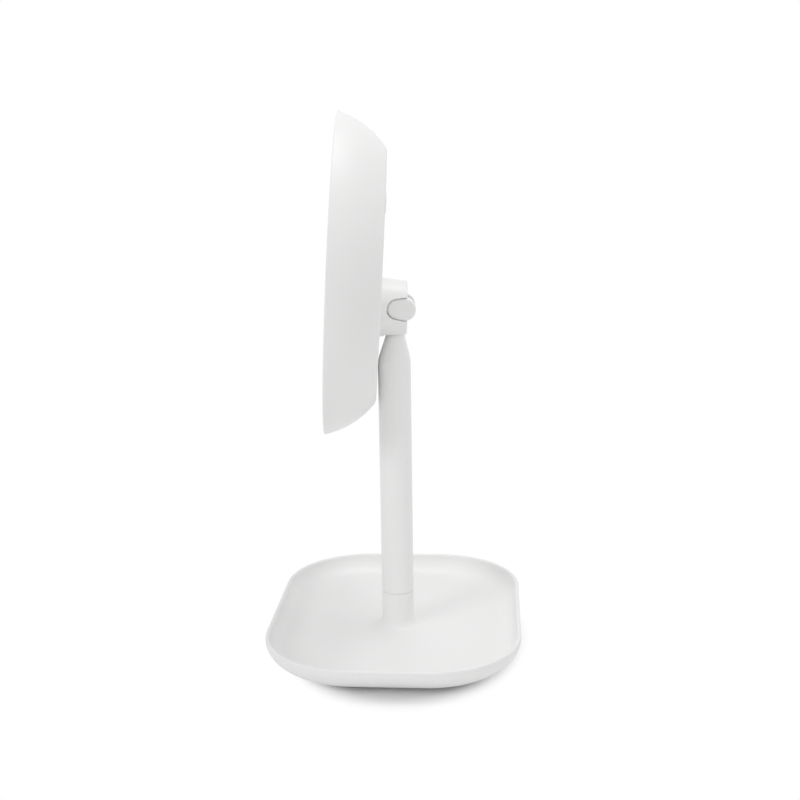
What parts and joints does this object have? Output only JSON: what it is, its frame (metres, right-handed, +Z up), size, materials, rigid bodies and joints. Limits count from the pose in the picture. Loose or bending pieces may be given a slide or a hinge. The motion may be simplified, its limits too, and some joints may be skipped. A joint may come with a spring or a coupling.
{
  "type": "lighted magnifying mirror",
  "caption": "Table mirror with a round hollow glass in a ring of light, tilting on a slim column that swivels on a round-cornered dish base, with a push button and charging inlet on the back.",
  "frame": {"origin": "centre of the anti-slip pad's underside, on the table, on the column's axis", "axes": "+Z up along the column; the base's longer sides run along X; the mirror faces -Y, turned 5 degrees about Z and leaning back 3.6 degrees in the rest pose"},
  "size_m": [0.2019, 0.16, 0.3378],
  "materials": {
    "white_plastic": "satin moulded white",
    "reflector_plastic": "bright white inner plastic",
    "diffuser": "frosted translucent",
    "mirror_glass": "silvered glass",
    "steel": "zinc-plated",
    "brass": "machined",
    "rubber_pad": "matt foam rubber",
    "foam_tape": "double-sided foam tape",
    "bearing_plastic": "natural slippery plastic",
    "circuit_board": "lacquered laminate",
    "led_package": "yellow phosphor",
    "black_plastic": "moulded black",
    "cell_foil": "pouch foil"
  },
  "bodies": {
    "base": {"base_tray": "white_plastic", "base_bottom_plate": "white_plastic", "base_screws": "steel", "ballast_plate": "steel", "anti_slip_pad": "rubber_pad", "swivel_bearing": "bearing_plastic"},
    "column": {"column_tube": "white_plastic", "swivel_spigot": "bearing_plastic", "threaded_insert": "brass", "swivel_bolt": "steel", "swivel_washer": "steel"},
    "head": {"hinge_cheek_left": "white_plastic", "hinge_cheek_right": "white_plastic", "hinge_boss": "white_plastic", "hinge_axle": "steel", "hinge_discs": "steel", "hinge_screws": "steel", "rear_shell": "white_plastic", "front_bezel": "white_plastic", "light_diffuser": "diffuser", "mirror_glass": "mirror_glass", "mirror_tape": "foam_tape", "mirror_carrier": "reflector_plastic", "carrier_screws": "steel", "led_board": "circuit_board", "leds": "led_package", "main_board": "circuit_board", "board_screws": "steel", "board_chips": "black_plastic", "tact_switch": "black_plastic", "charging_socket": "steel", "battery_cell": "cell_foil", "battery_tape": "foam_tape"},
    "power_button": {"power_button": "white_plastic"}
  },
  "joints": [
    {"name": "column_swivel", "type": "hinge", "parent": "base", "child": "column", "pos_m": [0, 0, 0.031], "axis": [0, 0, 1], "continuous": true},
    {"name": "head_tilt", "type": "hinge", "parent": "column", "child": "head", "pos_m": [-0.00008, 0.0009, 0.2186], "axis": [-0.9962, -0.0872, 0], "range_deg": [0, 80]},
    {"name": "button_press", "type": "slide", "parent": "head", "child": "power_button", "axis": [0.087, -0.9942, 0.0628], "range_m": [0, 0.0008], "stiffness_N_per_m": 2000, "springref_m": -0.0004}
  ]
}
